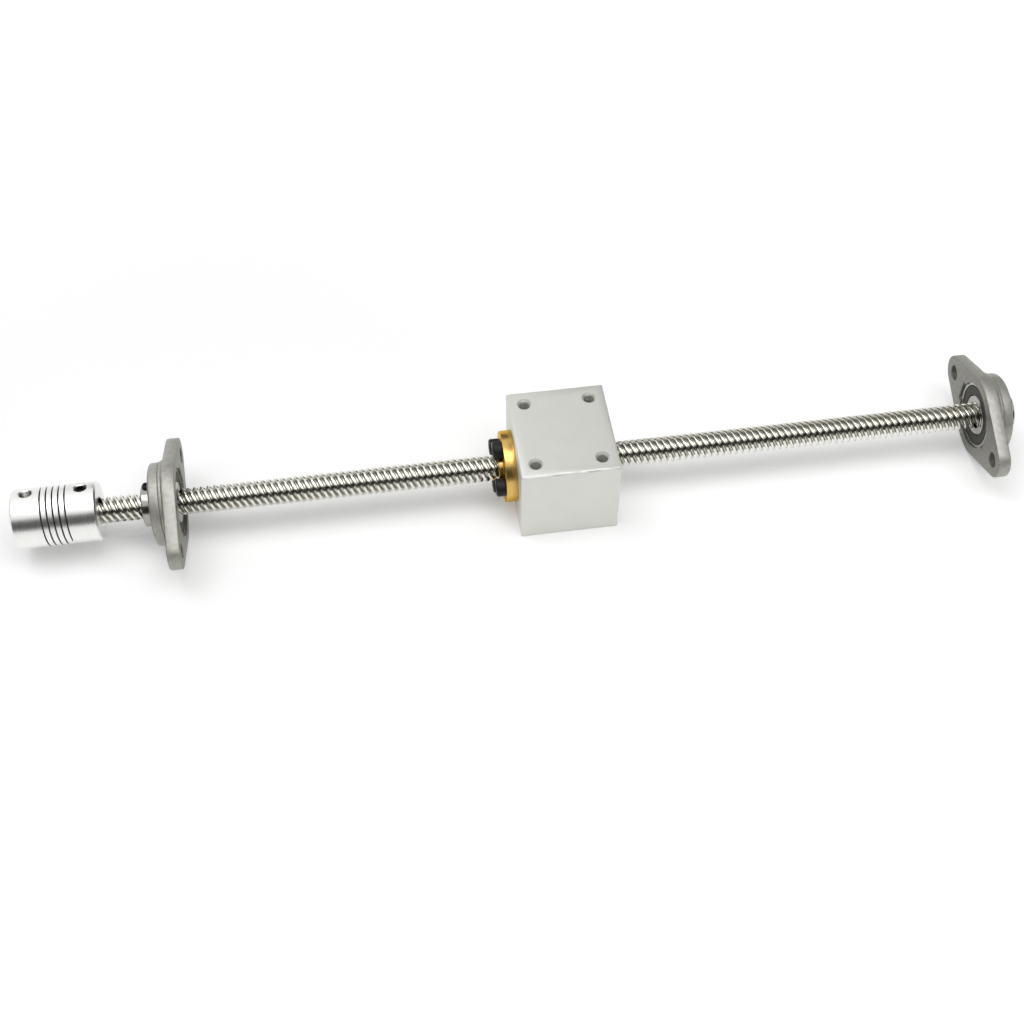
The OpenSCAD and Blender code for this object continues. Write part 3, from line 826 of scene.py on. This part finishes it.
outline = [(0.25, 2.95), (0, 4.3), (0, nut_r), (hub, nut_r, 0.15), (hub, flange_r),
           (flange_end, flange_r), (flange_end, nut_r, 0.05), (nut_length, nut_r),
           (nut_length, 4.3), (nut_length - 0.25, 2.95)]
nut = make_solid(*lathe(rounded(outline, 0.25), steps=160))
ridge = trapezoid_ridge(screw_r + crest_relief, thread_depth + crest_relief - play, play)
phase = Matrix.Rotation((low("nut").x - screw_start) / lead * 2 * pi, 4, "Z")
tap = thread(ridge, pitch, starts, nut_length + 2 * lead, screw_slices)
cut(nut, [make_solid(*tap, phase @ Matrix.Translation((0, 0, -lead)))])
for k in range(nut_bolts):
    drill = rod([(hub - 1, 2.55), (hub + 0.15, 1.75), (flange_end - 0.15, 1.75),
                 (flange_end + 1, 2.55)], steps=48)
    cut(nut, [make_solid(*drill, at_nut_bolt(k))])
finish_piece(nut, "threaded_nut", "nut", at_nut)

# %% [markdown]
# ## The nut's screws
# Socket head screws have a knurled head, so that fingers can turn them, and a hexagon socket.
# The head is a stack of rings of points. In a ring every other point lies a little further
# in, which makes the knurls, and the smaller rings at the top and the bottom are smooth.

# %% Socket head screws
knurls, knurl_depth = 36, 0.09
# The head's rings: height, radius and how deep the knurls go there, from 0 to 1
head_rings = [(-3, 2.3, 0), (-2.92, 2.45, 0), (-2.7, 2.66, 0.2), (-2.55, 2.75, 1),
              (-0.35, 2.75, 1), (-0.2, 2.7, 0.2), (0, 2.6, 0)]


def socket_head_screw(place):
    """An M3 screw with its head from Z = -3 to 0 and its shank from 0 to 8."""
    rings = [[polar(r - knurl_depth * share * (k % 2), pi * k / knurls, z)
              for k in range(2 * knurls)] for z, r, share in head_rings]
    head = make_solid(*loft(rings))
    cut(head, [make_solid(*hex_socket(2.5, 1.5, 3), Matrix.Rotation(pi, 4, "X"))])
    shank = thread(metric_ridge(1.49, 0.28, m3_pitch), m3_pitch, 1, 8.5, 16, taper=0.2)
    cut(head, [make_solid(*shank, Matrix.Translation((0, 0, -0.5)))], "UNION")
    head.data.transform(place)
    return head


screws = [socket_head_screw(at_nut_bolt(k, hub)) for k in range(nut_bolts)]
finish_piece(join(screws), "socket_head_screws", "nut_screws", at_nut, 28)

# %% [markdown]
# ## The block
# A length of square bar, sawn, milled and bored. Its edges are broken with a file, the four
# holes in its top are countersunk and tapped, and the nut sits in the long bore. The file
# leaves a flat bevel and blasting rounds its corners, so a wide bevel is followed by a fine one.

# %% The block
half = (block_high - block_low) / 2
signs = (-1, 1)
corners = [(x * half.x, y * half.y, z * half.z) for x in signs for y in signs for z in signs]
sides = [(0, 1, 3, 2), (4, 6, 7, 5), (0, 4, 5, 1), (2, 3, 7, 6), (0, 2, 6, 4), (1, 5, 7, 3)]
block = make_solid(corners, sides)
apply_modifier(block, "BEVEL", width=0.4, segments=1, limit_method="ANGLE")
apply_modifier(block, "BEVEL", width=0.12, segments=3, limit_method="ANGLE",
               angle_limit=radians(20))

# The bore for the nut, bevelled at both ends, and the holes for the nut's screws
bore_r = 5.2
bore = rod([(-half.x - 1, bore_r + 1.4), (-half.x + 0.4, bore_r), (half.x - 0.4, bore_r),
            (half.x + 1, bore_r + 1.4)], steps=128)
cut(block, [make_solid(*bore, along_x)])
for k in range(nut_bolts):
    drill = rod([(-1, 1.5), (5, 1.5), (7.9, 1.5), (8.8, 0.05)], steps=32)
    cut(block, [make_solid(*drill, along_x @ at_nut_bolt(k, -half.x))])

# The four holes in the top: drilled and countersunk, then tapped
for x in (-block_hole_x, block_hole_x):
    for y in (-block_hole_y, block_hole_y):
        down = Matrix.Translation((x, y, half.z)) @ Matrix.Rotation(pi, 4, "X")
        drill = rod([(-1, block_hole_r + 1.2), (0, block_hole_r + 0.2), (0.54, 1.66),
                     (10, 1.66), (11, 0.05)], steps=48)
        tap = thread(metric_ridge(block_hole_r, 0.36, m4_pitch), m4_pitch, 1, 9.1, 16)
        cut(block, [make_solid(*drill, down), make_solid(*tap, down)])
finish_piece(block, "anodised_block", "nut_block", at_block)

# %% [markdown]
# ## Stage and light
# The object lies on a white sheet. The sheet stays white to the eye and in reflections, and
# keeps the soft shadow that the object casts on it. The lamps reach less far than the sheet,
# so its own glow grows with the distance from the middle.

# %% The white sheet
bpy.context.scene.view_settings.view_transform = "Standard"
drive_middle = Vector((0.1, 0, 0))


def seen(tree):
    """1 where a thing is looked at, also in a mirror or through glass, and 0 where it lights."""
    path = add_node(tree, "ShaderNodeLightPath").outputs
    direct = add_node(tree, "ShaderNodeMath",
                      {0: path["Is Camera Ray"], 1: path["Is Glossy Ray"]}, operation="MAXIMUM")
    return add_node(tree, "ShaderNodeMath",
                    {0: direct.outputs[0], 1: path["Is Transmission Ray"]},
                    operation="MAXIMUM").outputs[0]


# The sheet reaches 8 m to every side, past all that the camera sees
far = 8
sheet_corners = [(-far, -far, 0), (far, -far, 0), (far, far, 0), (-far, far, 0)]
sheet_mesh = bpy.data.meshes.new("sheet")
sheet_mesh.from_pydata(sheet_corners, [], [(0, 1, 2, 3)])
sheet = bpy.data.objects.new("sheet", sheet_mesh)
sheet.location.z = (block_low.z - 0.02) * mm
bpy.context.scene.collection.objects.link(sheet)
white_sheet, tree, shader = start_material("white_sheet", "#F4F4F4", 0, 0.9)
from_middle = add_node(tree, "ShaderNodeVectorMath", {0: in_millimetres(tree)},
                       operation="LENGTH").outputs["Value"]
# What is missing from white close to the object and far off, with the distances in mm
close, close_glow, distant, distant_glow = 100, 0.21, 1200, 0.8
missing = spread(tree, from_middle, close_glow, distant_glow, close, distant)
glow = add_node(tree, "ShaderNodeMath", {0: seen(tree), 1: missing}, operation="MULTIPLY")
shader.inputs["Emission Color"].default_value = linear("#FFFFFF")
tree.links.new(glow.outputs[0], shader.inputs["Emission Strength"])
sheet.data.materials.append(white_sheet)
print("sheet at", round(sheet.location.z / mm, 2), "mm")

# %% [markdown]
# ## The room
# Bright metal has hardly any colour of its own: it shows the room. A photographer therefore
# lights it with wide lamps overhead and puts dark cards where a dark band should run along
# the metal. Here one card stands in front, round the camera, a dark and a grey one stand
# above each other at the back, and one stands past each end. The room itself is white where
# it is seen, and dim as a light.

# %% The world
world = bpy.data.worlds.new("studio")
world.use_nodes = True
bpy.context.scene.world = world
tree = world.node_tree
room = tree.nodes["Background"]
room.inputs["Color"].default_value = linear("#FFFFFF")
as_light, as_seen = 0.16, 1
tree.links.new(spread(tree, seen(tree), as_light, as_seen, 0, 1), room.inputs["Strength"])
print("world:", world.name)

# %% [markdown]
# ## The lamps
# The key lamp is smaller and brighter, so it draws the soft shadows on the sheet and the
# bright line along round metal. The softbox is kept out of reflections, where the white room
# stands for it.

# %% The softbox and the key lamp
def lamp(name, width, depth, watts, place, in_reflections):
    """A soft lamp that points at the middle of the screw."""
    light = bpy.data.objects.new(name, bpy.data.lights.new(name, "AREA"))
    light.data.shape = "RECTANGLE"
    light.data.size, light.data.size_y, light.data.energy = width, depth, watts
    light.location = place
    light.rotation_euler = (drive_middle - light.location).to_track_quat("-Z", "Y").to_euler()
    light.visible_glossy = in_reflections
    bpy.context.scene.collection.objects.link(light)
    print(f"{name}: {watts} W")


lamp("softbox", 2.4, 1.1, 7, (0.08, -0.1, 1), False)
lamp("key", 1.3, 0.5, 5, (0.05, -0.08, 1), True)

# %% [markdown]
# ## The cards
# A card is black and gives off just the grey that metal should show, so it looks the same
# under any lamp. Only reflections see the cards, so they take no light away.

# %% The dark cards
card_distance = 0.9


def card(name, heading, from_height, to_height, shade, across=(-3, 3)):
    """A card at a heading from +X, between two heights, all in degrees. across is in metres."""
    low_z, high_z = [card_distance * tan(radians(height)) for height in (from_height, to_height)]
    corners = [(card_distance, across[0], low_z), (card_distance, across[1], low_z),
               (card_distance, across[1], high_z), (card_distance, across[0], high_z)]
    mesh = bpy.data.meshes.new(name)
    mesh.from_pydata(corners, [], [(0, 1, 2, 3)])
    board = bpy.data.objects.new(name, mesh)
    board.location = drive_middle
    board.rotation_euler.z = radians(heading)
    bpy.context.scene.collection.objects.link(board)
    # The card's grey is its own glow, which only reflections show: a painted dark reflection in the
    # metal
    reflected_glow, tree, shader = start_material(name + "_felt", "#000000", 0, 1)
    shader.inputs["Specular IOR Level"].default_value = 0
    shader.inputs["Emission Color"].default_value = linear(shade)
    shader.inputs["Emission Strength"].default_value = 1
    mesh.materials.append(reflected_glow)
    board.visible_camera = board.visible_diffuse = False
    board.visible_shadow = board.visible_transmission = False


card("front_card", -90, 3, 48, "#383836")
card("low_back_card", 90, 3, 31, "#484846", (-3, 0.25))
card("high_back_card", 90, 31, 80, "#7C7C79", (-3, -0.25))
card("left_card", 180, 2, 42, "#383836", (-0.6, 0.6))
card("right_card", 0, 2, 40, "#50504E", (-0.6, 0.6))

# %% [markdown]
# ## Bringing the scene up to date
# The dressed part has to fill the same box as the solids did. The script ends by bringing the
# scene up to date.

# %% Update the scene
bpy.context.view_layer.update()
